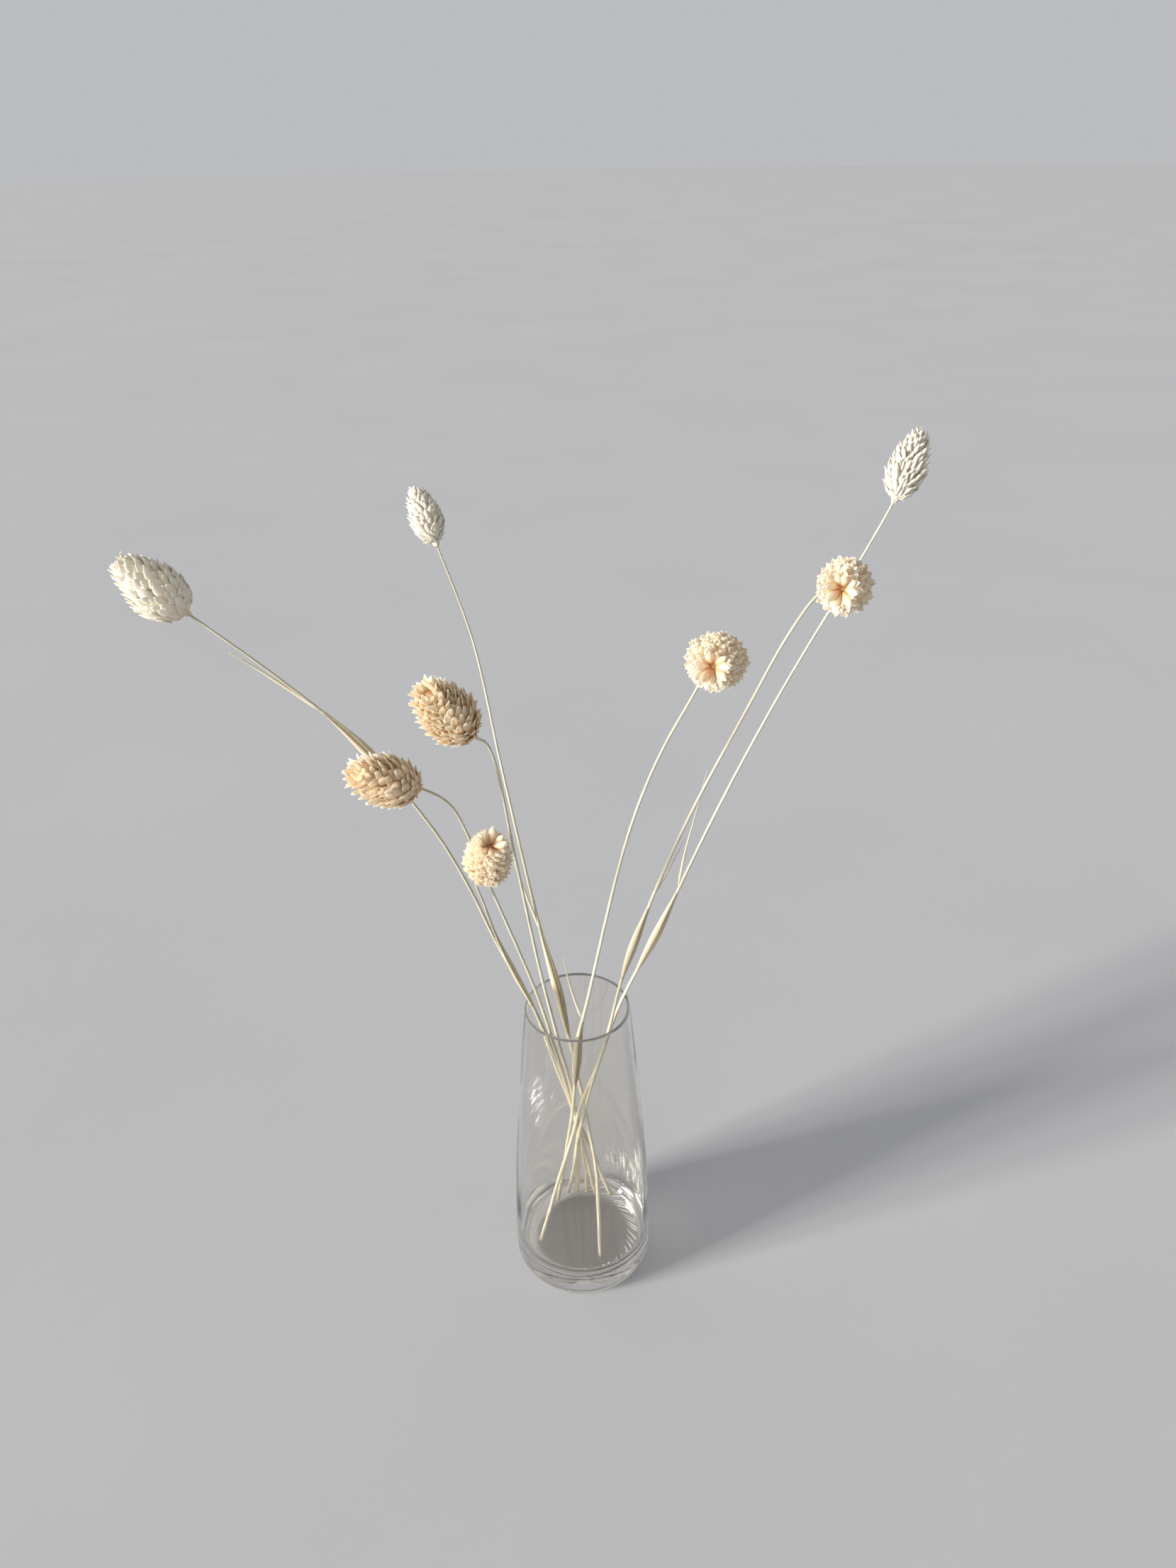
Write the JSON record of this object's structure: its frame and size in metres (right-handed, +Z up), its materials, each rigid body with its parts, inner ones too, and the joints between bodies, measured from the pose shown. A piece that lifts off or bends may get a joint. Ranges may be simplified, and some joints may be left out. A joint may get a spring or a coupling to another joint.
{
  "type": "dried canary grass in glass vase",
  "caption": "Dried canary grass stalks with ovoid scaly heads, leaning on the rim of a tapered clear glass vase that stands on a flat foot.",
  "frame": {"origin": "centre of the flat underside of the vase, on the surface it stands on", "axes": "+Z up along the axis of the vase, +X to the right and +Y away from the viewer in the picture"},
  "size_m": [0.2781, 0.1626, 0.3829],
  "materials": {
    "glass": "clear polished glass with a faint grey tint",
    "straw": "dry pale straw, satin, with papery sheaths",
    "ivory_scales": "dry papery ivory scales",
    "peach_scales": "dry papery cream scales with peach bases"
  },
  "bodies": {
    "root": {"vase": "glass", "stem_far_left": "straw", "head_far_left": "ivory_scales", "stem_back": "straw", "head_back": "ivory_scales", "stem_far_right": "straw", "head_far_right": "ivory_scales", "stem_right": "straw", "head_right": "peach_scales", "stem_front": "straw", "head_front": "peach_scales", "stem_upper_left": "straw", "head_upper_left": "peach_scales", "stem_lower_left": "straw", "head_lower_left": "peach_scales", "stem_low": "straw", "head_low": "peach_scales"}
  },
  "joints": []
}
